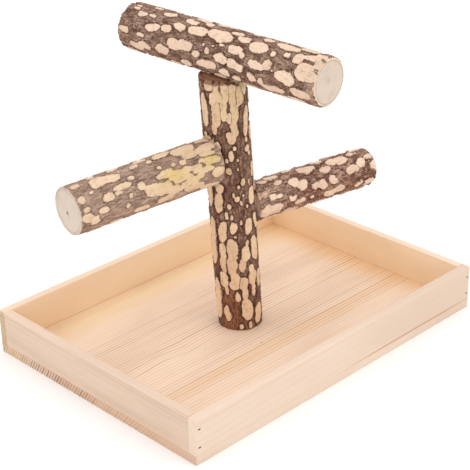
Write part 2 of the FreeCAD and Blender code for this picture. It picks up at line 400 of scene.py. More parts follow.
def ring_distance(finish, point, heart, tilt, drift, knot):
    """Distance from the tree's heart in mm, a little uneven, and pushed aside beside a knot. A knot
    is its place along and across the board, its reach both ways and how far it pushes."""
    along, across, deep = finish.split(point)
    slow = finish.noise(finish.stretch(point, (0.007, 0.03, 0.03)), 1.0, 2.0) - 0.5
    quick = finish.noise(finish.stretch(point, (0.035, 0.22, 0.22)), 1.0, 2.0) - 0.5
    sideways = across - heart[0] - along * tilt[0]
    down = deep - heart[1] - along * tilt[1]
    if knot:
        reach_along = (along - knot[0]) / knot[2]
        reach_across = (across - knot[1]) / knot[3]
        fall = 0 - reach_along * reach_along - reach_across * reach_across
        sideways = sideways - fall.maths("EXPONENT") * reach_along * knot[4]
    return (sideways * sideways + down * down) ** 0.5 + slow * drift + quick * drift * 0.4


def ring_darkness(finish, rings):
    """How dark a point's ring is, from a count of rings: soft to one side and sharp to the other,
    and stronger in some years than in others."""
    share = rings.maths("FRACT")
    darkness = finish.step(share, *LATE_WOOD) * (1 - finish.step(share, *NEXT_YEAR))
    year = finish.node("ShaderNodeTexWhiteNoise", {"noise_dimensions": "1D"}, W=rings.maths("FLOOR"))
    return darkness * (0.3 + year * 0.7)


print("five even stops are at", [place for place, colour in evenly(0, 0, 0, 0, 0)])


# %% [markdown]
# Over the rings go what one plank has and another doesn't: stains and specks, and end grain that drinks
# in dirt. The top of the rim is laid over with one colour and fainter lines, a painted shade so that the
# tops do not read brighter under the light from above. Each is a soft mask, and the colours are laid
# over each other in turn, as a painter would.

# %% Stains, rims and end grain
# Painted shade: the colour laid over the top of the rim.
SHADED_RIM_PINE = paint(240, 212, 190)
RIM_HEIGHTS = (28.2, 29.5)
END_GRAIN = (TRAY_LENGTH / 2 - 0.5, TRAY_LENGTH / 2 - 0.1)


def add_marks(finish, point, colour, marks):
    """Lay soft marks over a colour, each with a centre and half its size in mm, then its strength
    and its own colour."""
    for place, reach, share, mark in marks:
        aside = finish.node("ShaderNodeVectorMath", {"operation": "SUBTRACT"}, point, place)
        aside = finish.stretch(aside, tuple(1 / size for size in reach))
        away = finish.node("ShaderNodeVectorMath", {"operation": "LENGTH"}, aside, output="Value")
        colour = finish.mix((1 - finish.step(away, 0.4, 1.2)) * share, colour, mark)
    return colour


def add_end_grain(finish, along, edge_to_edge, darkness, colour, ends):
    """Darken the ends of a board. Ends are the strength of the lines from edge to edge, how dark the
    end is all over, and its dark colour."""
    bands, share, dark = ends
    at_end = finish.step(along.maths("ABSOLUTE"), *END_GRAIN)
    colour = finish.mix(at_end * share, colour, dark)
    return finish.mix(at_end * darkness * finish.ramp(edge_to_edge, bands), colour, dark)


print("end grain begins", round(TRAY_LENGTH / 2 - END_GRAIN[0], 2), "mm from the end of a board")


# %% [markdown]
# One function then makes every pine here. Its arguments are what differs between two planks: where the
# heart lay, how wide the rings are, the colours, and how strongly the lines show.

# %% The finish of sawn and sanded pine
def pine(
    name, matrix, heart, tilt, ring, ground, late, bands, line, drift=2.0, knot=None, ends=None,
    marks=(),
):
    """Pine with its grain along the matrix's x axis. Heart is (across, deep) in mm, and ring is the
    width of a ring in mm. Ground and bands give the colour and the strength of the lines from one
    edge to the other, late is the lines' colour and line their strength all over. Drift is how far
    in mm the rings wander."""
    finish = Finish(name)
    point = finish.place(matrix)
    along, across, deep = finish.split(point)
    edge_to_edge = (across + TRAY_WIDTH / 2) / TRAY_WIDTH
    darkness = ring_darkness(finish, ring_distance(finish, point, heart, tilt, drift, knot) / ring)
    fading = finish.step(finish.noise(finish.stretch(point, (0.02, 0.16, 0.16)), 1.0, 2.0), 0.25, 0.7)
    # The top of the rim gets fainter lines and painted shade in its colour.
    rim_share = finish.step(deep, *RIM_HEIGHTS)
    strength = darkness * (0.45 + fading * 0.55) * finish.ramp(edge_to_edge, bands) * line
    strength = strength * (1 - rim_share * 0.75)
    fibre = finish.noise(finish.stretch(point, (0.05, 2.0, 2.0)), 1.0, 3.0, 0.6)
    blush = finish.noise(finish.stretch(point, (0.01, 0.03, 0.03)), 1.0, 2.0)
    colour = finish.ramp(edge_to_edge, ground)
    colour = finish.mix(finish.step(blush, 0.35, 0.75) * 0.22, colour, late)
    colour = finish.mix(finish.step(fibre, 0.45, 0.8) * 0.16, colour, late)
    colour = finish.mix(rim_share * 0.55, colour, SHADED_RIM_PINE)
    colour = add_marks(finish, point, colour, marks)
    colour = finish.mix(strength, colour, late)
    if ends:
        colour = add_end_grain(finish, along, edge_to_edge, darkness, colour, ends)
    finish.drive("Base Color", colour)
    finish.set(Roughness=0.6, Specular_IOR_Level=0.3)
    finish.relief(fibre * 0.5 - strength * 0.1, 0.00008)
    return finish.material


print("a line darkens over", LATE_WOOD, "of a ring's width and ends at", NEXT_YEAR)


# %% [markdown]
# ## The tray's boards
# Five boards make the tray. The engineering boards have plain bevels, and real ones are sanded by hand,
# so their edges are rounder and their joints show as fine lines. Each board starts as a cube stretched
# to the place that its engineering twin fills. Every edge is then given a weight by where it lies, and
# one Bevel modifier rounds each by its own amount. Selecting and bevelling edge by edge would need a
# pass for every size of rounding.

# %% Model one sanded board
EDGE_ROUND = 1.4 * MM


def board(name, node, weigh, body="tray"):
    """A board in its node's place. Weigh gives an edge's rounding in metres from its two ends."""
    low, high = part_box(node)
    bpy.ops.object.select_all(action="DESELECT")
    bpy.ops.mesh.primitive_cube_add(size=1, location=(low + high) / 2)
    piece = bpy.context.object
    piece.name = name
    bpy.ops.transform.resize(value=high - low)
    bpy.ops.object.transform_apply(location=True, rotation=True, scale=True)
    weights = piece.data.attributes.new("bevel_weight_edge", "FLOAT", "EDGE")
    for edge in piece.data.edges:
        ends = [piece.data.vertices[vertex].co for vertex in edge.vertices]
        weights.data[edge.index].value = weigh(*ends) / EDGE_ROUND
    rounding = piece.modifiers.new("sanding", "BEVEL")
    rounding.limit_method = "WEIGHT"
    rounding.width = EDGE_ROUND
    rounding.segments = 4
    bpy.ops.object.modifier_apply(modifier="sanding")
    bpy.ops.object.shade_smooth_by_angle(angle=math.radians(35))
    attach(piece, body)
    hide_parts(node)
    return piece


print("an edge whose weight is 1 is rounded by", round(EDGE_ROUND / MM, 2), "mm")


# %% [markdown]
# Which edge gets which rounding follows from where it lies. The outside of the rim and the corners are
# handled most, so they are roundest, the inside of the rim less, and where two boards meet there is
# only a hair of rounding, which is what makes the joint show as a fine line.

# %% Choose the rounding of each edge
OUTER_ROUND = 1.3 * MM
INNER_ROUND = 0.8 * MM
UNDERSIDE_ROUND = 0.5 * MM
JOINT_EASE = 0.25 * MM
SAME_PLACE = 0.1 * MM
X, Y, Z = 0, 1, 2


def edge_weights(rules):
    """A weighing function: the first rule whose faces both hold the edge gives its rounding."""

    def weigh(start, end):
        for places, rounding in rules:
            if all(
                abs(start[axis] - value) < SAME_PLACE and abs(end[axis] - value) < SAME_PLACE
                for axis, value in places.items()
            ):
                return rounding
        return JOINT_EASE

    return weigh


tray_low, tray_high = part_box("tray_floor")
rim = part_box("front_board")[1].z
inner_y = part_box("front_board")[1].y
tray_ends = (tray_low.x, tray_high.x)
tray_sides = (tray_low.y, tray_high.y)

corner_rules = [({X: x, Y: y}, OUTER_ROUND) for x in tray_ends for y in tray_sides]
rim_side_rules = [({Z: rim, Y: y}, OUTER_ROUND) for y in tray_sides]
rim_end_rules = [({Z: rim, X: x}, OUTER_ROUND) for x in tray_ends]
rim_joint_rules = [({Z: rim, Y: y}, JOINT_EASE) for y in (inner_y, -inner_y)]
rim_inner_rule = [({Z: rim}, INNER_ROUND)]
long_rules = rim_side_rules + rim_end_rules + rim_inner_rule + corner_rules
end_rules = rim_end_rules + rim_joint_rules + rim_inner_rule
floor_rules = corner_rules + [({Z: 0.0}, UNDERSIDE_ROUND)]
print("the rim is at", round(rim / MM, 1), "mm and its inside at", round(inner_y / MM, 1), "mm")

# %% Make the five boards
boards = {
    "floor": board("pine_floor", "tray_floor", edge_weights(floor_rules)),
    "front": board("pine_front_board", "front_board", edge_weights(long_rules)),
    "back": board("pine_back_board", "back_board", edge_weights(long_rules)),
    "left": board("pine_left_end", "left_end_board", edge_weights(end_rules)),
    "right": board("pine_right_end", "right_end_board", edge_weights(end_rules)),
}
print({name: len(piece.data.polygons) for name, piece in boards.items()}, "faces")


# %% [markdown]
# The brads are driven just under the surface, and the bolt's head sits in a round pocket under the
# tray. Small solids in those places are taken away from the boards with Boolean modifiers. A brad's
# hole is cut a hair deeper than its head, so that the steel shows.

# %% Cut holes in a board
BRAD_SET = 0.36 * MM
BRAD_HEAD = (2.0 * MM, 1.0 * MM)


def block(place, size):
    """A block to cut with."""
    bpy.ops.object.select_all(action="DESELECT")
    bpy.ops.mesh.primitive_cube_add(size=1, location=place)
    bpy.ops.transform.resize(value=size)
    return bpy.context.object


def drum(place, radius, depth):
    """An upright drum to cut with."""
    bpy.ops.object.select_all(action="DESELECT")
    bpy.ops.mesh.primitive_cylinder_add(vertices=64, radius=radius, depth=depth, location=place)
    return bpy.context.object


def carve(piece, cutters):
    """Take cutters away from a piece, and remove them."""
    for cutter in cutters:
        bpy.ops.object.select_all(action="DESELECT")
        bpy.context.view_layer.objects.active = piece
        piece.select_set(True)
        hollow = piece.modifiers.new("hollow", "BOOLEAN")
        hollow.object = cutter
        bpy.ops.object.modifier_apply(modifier="hollow")
        bpy.data.objects.remove(cutter)
    return len(piece.data.polygons)


print("a brad's hole is", round(BRAD_SET / MM, 2), "mm deep")

# %% Cut the boards for the brads and the bolt
BRAD_HEIGHTS = (11 * MM, 23 * MM)
FRONT_AND_BACK = 90 * MM
END_BRAD_X = 122
UNDER_LONG_SIDES = {"x": (-83.33, 0.0, 83.33), "y": (-87, 87)}
UNDER_ENDS = {"x": (-END_BRAD_X, END_BRAD_X), "y": (-45, 45)}
POCKET_RADIUS, POCKET_DEPTH = 7.7 * MM, 2.4 * MM
BOLT_HOLE_RADIUS, FLOOR_THICKNESS = 3.2 * MM, 6 * MM


def brad_blocks(side):
    """Blocks over the heads of the corner brads on the front (-1) or the back (1) of the tray."""
    size = (BRAD_HEAD[0], 2 * BRAD_SET, BRAD_HEAD[1])
    ends = (-END_BRAD_X * MM, END_BRAD_X * MM)
    return [block((x, side * FRONT_AND_BACK, z), size) for x in ends for z in BRAD_HEIGHTS]


under_blocks = [
    block((x * MM, y * MM, 0), (*BRAD_HEAD, 2 * BRAD_SET))
    for row in (UNDER_LONG_SIDES, UNDER_ENDS)
    for x in row["x"]
    for y in row["y"]
]
pocket = drum((0, 0, 0), POCKET_RADIUS, 2 * POCKET_DEPTH)
bolt_hole = drum((0, 0, FLOOR_THICKNESS / 2), BOLT_HOLE_RADIUS, 2 * FLOOR_THICKNESS)
print("front board:", carve(boards["front"], brad_blocks(-1)), "faces")
print("back board:", carve(boards["back"], brad_blocks(1)), "faces")
print("floor board:", carve(boards["floor"], [pocket, bolt_hole] + under_blocks), "faces")


# %% [markdown]
# ## Pine for each board
# No two boards come from the same plank. The floor's heart lies far outside it, so its lines run
# straight and evenly, strong in the middle and faint along the front edge, and a small knot pushes a
# few of them aside. The left end board is greyer, with fine straight lines. The front board is pale,
# greyer towards its right end and with a streak, and the back and right boards are warmer and almost
# plain. One finish for all five would look like one sheet folded up, so each board gets its own.

# %% The pine of the floor
along_x = Matrix.Identity(4)
along_y = Matrix.Rotation(math.radians(90), 4, "Z")
FLOOR_PINE = paint(251, 224, 199)
FRONT_PINE = paint(238, 215, 194)
YELLOW_PINE = paint(252, 225, 188)
GREY_PINE = paint(235, 208, 184)
WARM_PINE = paint(255, 230, 196)

finishes = {}
finishes["floor"] = pine(
    "pine_of_the_floor",
    along_x,
    heart=(-200.0, -130.0),
    tilt=(0.0, 0.0),
    ring=2.1,
    ground=evenly(FRONT_PINE, *[FLOOR_PINE] * 8, YELLOW_PINE, YELLOW_PINE),
    late=paint(184, 136, 98),
    bands=evenly(0.05, 0.05, 0.35, 1.0, 0.5, 0.8, 1.0, 0.8, 0.15, 0.35, 0.5),
    line=1.0,
    drift=1.2,
    knot=(-60.0, 0.0, 16.0, 9.0, -4.0),
    ends=(
        evenly(0.05, 0.05, 0.05, 0.1, 0.1, 0.3, 0.9, 1.0, 1.0, 0.6, 0.5),
        0.15,
        paint(110, 70, 48),
    ),
    marks=(
        ((124.0, 10.0, 6.0), (26.0, 110.0, 3.0), 0.75, paint(248, 208, 160)),
        ((-11.4, -30.1, 6.0), (0.7, 0.7, 0.7), 0.9, paint(120, 84, 62)),
        ((-41.0, -10.2, 6.0), (0.5, 0.5, 0.5), 0.8, paint(140, 100, 76)),
        ((0.0, -37.0, 6.0), (150.0, 8.0, 3.0), 0.35, paint(238, 190, 140)),
        ((-125.0, -25.0, 3.0), (1.5, 110.0, 6.0), 0.55, paint(222, 176, 140)),
    ),
)
print("pine made for the floor, with", len(finishes), "finish so far")

# %% The pine of the long boards
finishes["front"] = pine(
    "pine_of_the_front",
    along_x,
    heart=(-140.0, 60.0),
    tilt=(0.0, 0.02),
    ring=3.0,
    ground=evenly(FRONT_PINE, FRONT_PINE),
    late=paint(212, 176, 146),
    bands=evenly(0.5, 0.5),
    line=0.5,
    marks=(
        ((125.0, -90.0, 18.0), (110.0, 20.0, 40.0), 0.8, paint(226, 200, 178)),
        ((67.0, -90.0, 6.3), (66.0, 1.0, 1.0), 0.9, paint(204, 148, 114)),
    ),
)
finishes["back"] = pine(
    "pine_of_the_back",
    along_x,
    heart=(120.0, -60.0),
    tilt=(0.0, -0.02),
    ring=2.4,
    ground=evenly(WARM_PINE, WARM_PINE),
    late=paint(216, 164, 116),
    bands=evenly(0.5, 0.5),
    line=0.25,
    ends=(evenly(0.7, 0.7), 0.4, paint(152, 106, 82)),
)
print("pine made for the long boards, with", len(finishes), "finishes so far")

# %% The pine of the end boards
finishes["left"] = pine(
    "pine_of_the_left_end",
    along_y,
    heart=(60.0, -70.0),
    tilt=(0.0, 0.012),
    ring=1.1,
    ground=evenly(GREY_PINE, GREY_PINE),
    late=paint(176, 140, 112),
    bands=evenly(0.9, 0.9),
    line=0.85,
    drift=1.2,
)
finishes["right"] = pine(
    "pine_of_the_right_end",
    along_y,
    heart=(-180.0, 30.0),
    tilt=(0.0, 0.03),
    ring=2.3,
    ground=evenly(WARM_PINE, WARM_PINE),
    late=paint(216, 164, 116),
    bands=evenly(0.5, 0.5),
    line=0.2,
)
for name, piece in boards.items():
    piece.data.materials.append(finishes[name])
print("boards finished:", ", ".join(finishes))


# %% [markdown]
# ## Metal
# The brads, bolts and inserts keep their engineering shapes. Only the brads' heads and the bolt's head
# under the tray show, so a metal needs little more than its colour, a cast surface with dull marks,
# and a spiral bump where the real piece has a thread. Modelled threads would cost many faces that
# nobody sees.

# %% The finish of a metal piece
DULL = 0.55


def metal(name, colour, roughness, matrix=None, pitch=None):
    """Metal with fine dull marks, and a thread whose pitch is in mm round the matrix's z axis."""
    finish = Finish(name)
    point = finish.place(matrix)
    marks = finish.noise(point, 1.6, 3.0)
    dull = (*(part * DULL for part in colour[:3]), 1.0)
    finish.drive("Base Color", finish.mix(finish.step(marks, 0.3, 0.8), colour, dull))
    finish.drive("Roughness", roughness + marks * 0.15)
    finish.set(Metallic=1.0)
    height = marks * 0.2
    if pitch:
        x, y, z = finish.split(point)
        turn = y.maths("ARCTAN2", x) / math.tau
        thread = (z / pitch - turn).maths("FRACT") - 0.5
        height = height + thread.maths("ABSOLUTE") * 2
    finish.relief(height, 0.0004)
    return finish.material


print("dull marks have", DULL, "of the metal's colour")

# %% Give the metal pieces their finishes
def dress(node, material):
    """Give an engineering node a finish in its own material slots."""
    if not nodes[node].material_slots:
        nodes[node].data.materials.append(material)
    for slot in nodes[node].material_slots:
        slot.material = material


def joint_matrix(name):
    """A joint's place and axis as a frame whose z axis is the joint's."""
    turned = Vector(joints[name]["axis"]).to_track_quat("Z", "Y").to_matrix().to_4x4()
    return Matrix.Translation(joints[name]["pos_m"]) @ turned


STEEL = paint(104, 84, 70)
ZINC = paint(196, 196, 192)
THREAD_PITCH = 1.0
for node in ("corner_brads", "floor_brads"):
    dress(node, metal("steel_" + node, STEEL, 0.4))
threaded = {
    "base_bolt": "post_swivel",
    "post_foot_insert": "post_swivel",
    "post_top_insert": "top_perch_swivel",
    "top_perch_bolt": "top_perch_swivel",
    "post_left_insert": "left_perch_turn",
    "left_perch_bolt": "left_perch_turn",
    "post_right_insert": "right_perch_turn",
    "right_perch_bolt": "right_perch_turn",
}
for node, joint in threaded.items():
    dress(node, metal("zinc_" + node, ZINC, 0.3, joint_matrix(joint), THREAD_PITCH))
print("metal pieces finished:", 2 + len(threaded))


# %% [markdown]
# ## Four branches
# Each branch is described in its own frame. In it, z runs along the branch, from the end that is held
# or, on the top perch, from its far end. Angle 0 is a side that is easy to name: the upper side of a
# perch or the front of the post. The frames come from the joints, so they follow the engineering
# model, and a knob's place stays the same wherever the branch points.

# %% Find where the branches go
def branch_frame(base, axis, front):
    """A frame with z along the branch and x towards the named side."""
    along = Vector(axis).normalized()
    side = (Vector(front) - along * along.dot(front)).normalized()
    turned = Matrix((side, along.cross(side), along)).transposed().to_4x4()
    return Matrix.Translation(base) @ turned


foot = Vector(joints["post_swivel"]["pos_m"])
top = Vector(joints["top_perch_swivel"]["pos_m"])
top_bolt = Vector(joints["top_perch_swivel"]["axis"])
TOP_PERCH_HEADING = math.radians(-85.2)
TOP_PERCH_SLOPE = math.radians(-1.7)
top_axis = Vector(
    (
        math.cos(TOP_PERCH_SLOPE) * math.cos(TOP_PERCH_HEADING),
        math.cos(TOP_PERCH_SLOPE) * math.sin(TOP_PERCH_HEADING),
        math.sin(TOP_PERCH_SLOPE),
    )
)
TOP_PERCH_BEHIND = 72.1 * MM
TOP_PERCH_ABOVE = 14.1 * MM
UPWARD = Vector((0, 0, 1))
FORWARD = Vector((0, -1, 0))
left_axis = Vector(joints["left_perch_turn"]["axis"])
right_axis = Vector(joints["right_perch_turn"]["axis"])
print("the post is", round((top - foot).length / MM, 1), "mm from foot to top")

# %% Describe the branches
branches = {
    "post": {
        "frame": branch_frame(foot, top - foot, FORWARD),
        "length": (top - foot).length / MM,
        "radius": 15.1,
        "body": "post",
    },
    "top_perch": {
        "frame": branch_frame(
            top + top_bolt * TOP_PERCH_ABOVE - top_axis * TOP_PERCH_BEHIND, top_axis, UPWARD
        ),
        "length": 151.0,
        "radius": 15.4,
        "body": "top_perch",
    },
    "left_perch": {
        "frame": branch_frame(joints["left_perch_turn"]["pos_m"], left_axis, UPWARD),
        "length": 100.9,
        "radius": 15.3,
        "body": "left_perch",
    },
    "right_perch": {
        "frame": branch_frame(joints["right_perch_turn"]["pos_m"], right_axis, UPWARD),
        "length": 94.9,
        "radius": 13.3,
        "body": "right_perch",
    },
}
KNOB_HEIGHT = 0.5
BARK_THICKNESS = 2.1
for name, branch in branches.items():
    branch["core"] = branch["radius"] - KNOB_HEIGHT - BARK_THICKNESS
    print(name, "is", round(branch["length"], 1), "mm long and", 2 * branch["radius"], "mm through")


# %% [markdown]
# ## Where the knobs are
# The knobs are what one notices first, so those on the side that the photograph shows are listed
# one after another: millimetres along the branch, degrees round it, then length and width in
# millimetres. A rule for all of them would be shorter, but it would not give this stand's own pattern.

# %% Place the top perch's knobs
branches["top_perch"]["knobs"] = [
    (15.5, 32, 8, 4), (23, 30, 6, 3), (34, 10, 9, 5), (46.5, 39, 9, 5.5), (52, 15, 11, 5),
    (64.5, 6, 7, 4), (61, 35, 15, 6.5), (77, 31, 20, 8.5), (27, 58, 12, 5.5), (38, 52, 8.5, 5.5),
    (5, 80, 9, 5), (46.5, 82, 12, 6.5), (55.5, 77, 11, 7), (64, 90, 5.5, 5), (72.5, 75, 5, 4.5),
    (83, 83, 10.5, 6.5), (92, 86, 8, 7), (97, 93, 6, 5), (15, 116, 12, 5.5), (22, 108, 10, 5),
    (37, 104, 11, 6.5), (72, 108, 16, 6.5), (85, 117, 9, 6.5), (54, 124, 9, 5.5), (87, 11, 9, 3.5),
    (94, 24, 10, 5), (106.5, 33, 14, 8), (118, 38, 4, 3.5), (92, 54, 11, 6), (98, 62, 4, 4),
    (109, 74, 12, 5), (117, 67, 6.5, 6.5), (127, 32, 5.5, 4.5), (135, 33, 7.5, 8), (131, 83, 14, 8),
    (142, 51, 12, 6.5), (149, 34, 6, 6), (121, 122, 16, 6), (106, 107, 7, 6.5), (112.5, 108, 4.5, 6),
    (141, 112, 14, 6.5), (108, 2, 8, 4), (124, 8, 17, 6), (137, -6, 13, 6), (148, 8, 8, 5),
    (15, 64, 1.5, 1.5), (56, 62, 1.5, 1.5), (69, 63, 2, 2), (76, 60, 2, 1.5), (121, 76, 2, 1.5),
    (8, 20, 5, 2.5), (74, -12, 14, 5), (97, -8, 6, 3), (144, 66, 16, 7), (143, 22, 12, 5),
]
print("top perch:", len(branches["top_perch"]["knobs"]), "knobs")

# %% Place the post's knobs
branches["post"]["knobs"] = [
    (12, -75, 12, 4.5), (29, -72, 7, 3), (37, -78, 11, 6), (47, -77, 12, 5.5), (57, -75, 13, 5.5),
    (70, -72, 16, 6.5), (90, -76, 14, 6.5), (100, -72, 6.5, 6.5), (139, -73, 7, 4), (149, -66, 17, 7),
    (158, -72, 10, 6), (163, -57, 13, 7), (25, -46, 7.5, 4), (36, -50, 14, 6.5), (47, -54, 13, 7.5),
    (59, -51, 15, 7.5), (53, -41, 2.5, 2.5), (67.5, -40, 3, 3), (73.5, -43, 8.5, 5), (82, -58, 5, 2.5),
    (81, -46, 4, 2.5), (88.5, -50, 3.5, 3), (15, -22, 16, 8.5), (27, -25, 9, 4.5), (34, -27, 9, 6),
    (3.5, -17, 6, 3), (47, -27, 10, 5.5), (55, -17, 12, 6.5), (61, -12, 7, 3), (73, -3, 11.5, 6.5),
    (28, -1, 10, 4), (37, 0, 11, 7), (43.5, -4, 6, 4), (77, -24, 4, 2.5), (90, -20, 4, 2.5),
    (93, -29, 4.5, 3.5), (96, -37, 4, 2), (87, -4, 2.5, 2), (95, -13, 2, 1.5), (101, -23, 2.5, 2),
    (104, -11, 5, 3), (112, -45, 4.5, 4), (119, -48, 3.5, 2.5), (113, -22, 3, 2), (119, -21, 2.5, 2),
    (127, -27, 3.5, 3), (134, -33, 9, 7), (139, -24, 9, 6), (147, -33, 8, 4), (150, -22, 15, 6),
    (162, -38, 11, 6), (160, -6, 13, 9), (142, 12, 20, 5), (131, 9, 4, 3), (57, 13, 18, 7),
    (10, 12, 14, 7), (93, 16, 13, 6), (125, 8, 4, 5), (121, 18, 4, 3), (20, -106, 30, 8),
    (62, -106, 34, 8), (95, -104, 18, 6), (34, 24, 12, 6), (75, 26, 12, 5), (110, 28, 10, 5),
    (150, -100, 22, 7), (3, -42, 4, 3), (161, -22, 15, 8), (165, -46, 9, 9), (164, 10, 10, 7),
    (152, -46, 14, 5), (166, -80, 7, 7),
]
print("post:", len(branches["post"]["knobs"]), "knobs")

# %% Place the left perch's knobs
branches["left_perch"]["knobs"] = [
    (8, -60, 13, 5.5), (15, -53, 6, 3.5), (12, -77, 10, 4), (19, -74, 10, 4), (27, -63, 10, 5),
    (35, -64, 10, 8), (41, -55, 13, 5), (27, -42, 4.5, 3.5), (33.5, -40, 4, 4), (26, -94, 14, 5.5),
    (38, -97, 14, 6), (45, -86, 14, 9), (52, -80, 12, 8), (59, -62, 6, 5), (70, -48, 12, 5),
    (63, -37, 4.5, 3.5), (74, -60, 6, 3), (81, -61, 8, 4.5), (74, -20, 13, 7), (82, -19, 13, 8),
    (43, -36, 3, 2.5), (46, -10, 4, 3), (8, -27, 15, 7), (20, -30, 12, 5), (22, -10, 18, 8),
    (36, 0, 13, 6), (9, -42, 12, 3.5), (92, -104, 6.5, 6), (97, -92, 8, 7), (86, -85, 7, 3.5),
    (97, -72, 5, 4), (98, -47, 5, 4), (96, -7, 6, 4), (70, -95, 3, 3), (67, -76, 3, 3), (67, -8, 2, 2),
    (22, -113, 15, 6), (43, -116, 13, 6), (60, -119, 10, 5), (10, -130, 16, 6), (90, -38, 4, 2.5),
    (50, 6, 10, 4), (6, 2, 10, 6), (68, 12, 9, 5), (84, 8, 5, 3), (30, -78, 16, 5), (22, -88, 14, 5),
    (5, -92, 9, 7), (20, -64, 10, 4),
]
print("left perch:", len(branches["left_perch"]["knobs"]), "knobs")

# %% Place the right perch's knobs
branches["right_perch"]["knobs"] = [
    (8, 9, 8, 4), (16, 2, 10, 5), (42, 12, 14, 6.5), (28, 41, 9, 6), (34, 56, 9, 7.5), (54, 34, 10.5, 5),
    (63, 12, 10, 6.5), (70, 17, 10, 8), (10, 66, 6, 4), (15, 68, 4, 3.5), (43, 70, 7.5, 5),
    (50, 72, 6, 6), (57.5, 70, 7, 6), (25, 86, 7.5, 4.5), (75, 57, 10, 6), (83, 48, 8, 6),
    (80, 5, 5.5, 4), (84, 8, 2, 2), (92, 65, 8, 7), (91, 36, 6, 5), (8, 105, 20, 9), (55, 111, 10, 6),
    (63, 105, 8, 6.5), (40, 103, 4, 3), (80, 112, 8, 5), (88, 116, 8, 6), (86, -14, 10, 5),
    (30, -10, 8, 4), (54, -8, 9, 4),
]
print("right perch:", len(branches["right_perch"]["knobs"]), "knobs")


# %% [markdown]
# The sides that the photograph doesn't show are filled by a rule. Leaf scars follow a spiral, so each
# new knob is turned by the golden angle from the last, and a spot that already has a knob is skipped.

# %% Fill the far sides
GOLDEN_ANGLE = 137.508
AREA_PER_HIDDEN_KNOB = 105.0
END_MARGIN = 3
LEAST_GAP = 0.3
WIDEST_HIDDEN_KNOB = 8.0


def nearest_gap(spot, others, radius):
    """How much clear bark lies between a knob and the nearest of the others, in mm."""
    best = math.inf
    for other in others:
        along = spot[0] - other[0]
        around = math.radians((spot[1] - other[1] + 180) % 360 - 180) * radius
        apart = math.hypot(along / (spot[2] + other[2]), around / (spot[3] + other[3])) * 2
        best = min(best, (apart - 1) * spot[3])
    return best


def add_hidden_knobs(branch, seed):
    """Fill the side that the photograph does not show."""
    chance = random.Random(seed)
    area = math.tau * branch["radius"] * branch["length"]
    count = int(area / AREA_PER_HIDDEN_KNOB)
    added = []
    for number in range(count):
        distance = END_MARGIN + (branch["length"] - 2 * END_MARGIN) * (number + 0.5) / count
        angle = number * GOLDEN_ANGLE % 360 - 180
        length = chance.uniform(4, 16)
        width = min(WIDEST_HIDDEN_KNOB, length * chance.uniform(0.4, 0.65))
        spot = (distance, angle, length, width)
        if nearest_gap(spot, branch["knobs"] + added, branch["radius"]) > LEAST_GAP:
            added.append(spot)
    branch["knobs"] = branch["knobs"] + added
    return len(added)


for seed, (name, branch) in enumerate(branches.items()):
    shown = len(branch["knobs"])
    print(name, shown, "knobs placed by eye and", add_hidden_knobs(branch, seed), "by rule")


# %% [markdown]
# ## The bark as a tube
# The bark is a tube round the wood, and it starts as one: a cylinder whose two caps are inset and then
# bridged, which is the quickest way to bore a clean hole. Its long outer edges are cut twice over,
# until the faces are about half a millimetre, fine enough to carry the knobs.

# %% Model a plain tube for each branch
FACE_SIZE = 0.5


def select_edges(piece, wanted):
    """Select the edges of a piece that the test accepts, and enter edit mode."""
    bpy.ops.object.mode_set(mode="EDIT")
    bpy.ops.mesh.select_mode(type="EDGE")
    bpy.ops.mesh.select_all(action="DESELECT")
    bpy.ops.object.mode_set(mode="OBJECT")
    for edge in piece.data.edges:
        edge.select = wanted(*(piece.data.vertices[vertex].co for vertex in edge.vertices))
    bpy.ops.object.mode_set(mode="EDIT")


def plain_tube(name, branch):
    """A tube the size of a branch's bark, standing on the origin, with fine faces outside."""
    radius, core, length = (branch[key] * MM for key in ("radius", "core", "length"))
    around = round(math.tau * branch["radius"] / FACE_SIZE)
    bpy.ops.object.select_all(action="DESELECT")
    bpy.ops.mesh.primitive_cylinder_add(
        vertices=around, radius=radius, depth=length, location=(0, 0, length / 2)
    )
    tube = bpy.context.object
    tube.name = name
    bpy.ops.object.transform_apply(location=True, rotation=True, scale=True)
    bpy.ops.object.mode_set(mode="EDIT")
    bpy.ops.mesh.select_mode(type="FACE")
    bpy.ops.mesh.select_all(action="DESELECT")
    bpy.ops.object.mode_set(mode="OBJECT")
    for face in tube.data.polygons:
        face.select = abs(face.normal.z) > 0.9
    bpy.ops.object.mode_set(mode="EDIT")
    bpy.ops.mesh.inset(thickness=radius - core)
    bpy.ops.mesh.bridge_edge_loops()
    bpy.ops.mesh.select_all(action="SELECT")
    bpy.ops.mesh.normals_make_consistent(inside=False)
    bpy.ops.object.mode_set(mode="OBJECT")
    middle = (radius + core) / 2
    cuts = math.ceil(math.sqrt(branch["length"] / FACE_SIZE)) - 1
    for _ in range(2):
        select_edges(
            tube,
            lambda start, end: start.xy.length > middle
            and end.xy.length > middle
            and abs(start.z - end.z) > 0.1 * FACE_SIZE * MM,
        )
        bpy.ops.mesh.subdivide(number_cuts=cuts)
        bpy.ops.object.mode_set(mode="OBJECT")
    return tube


for name, branch in branches.items():
    branch["tube"] = plain_tube("bark_of_" + name, branch)
    print(name, "tube has", len(branch["tube"].data.polygons), "faces")


# %% [markdown]
# ## Knobs, bark and cut ends
# A knob is a leaf scar whose top was sanded away, so it is flat and a little proud of the bark. Its
# outline is an oval with a wandering edge. For every point of the tube the code measures how far the
# nearest oval's edge is, and that one number gives both the shape here and the colours later. It is
# kept on the mesh, with one that is small where two knobs meet and another that sets a knob's tint.
# Knobs in line along the branch grow into each other, so the line between those is eased. Sculpting
# each knob would look as good, but could not be changed by changing a number.

# %% Measure how far each point is from a knob
KNOB_TILT = math.radians(10)
ROUNDNESS = 2.3
IN_LINE_EASE = 0.7
IN_LINE = 1.2
DEEPEST_EDGE, FARTHEST_EDGE = -2.5, 9.0
FULL_FRAY_WIDTH = 5


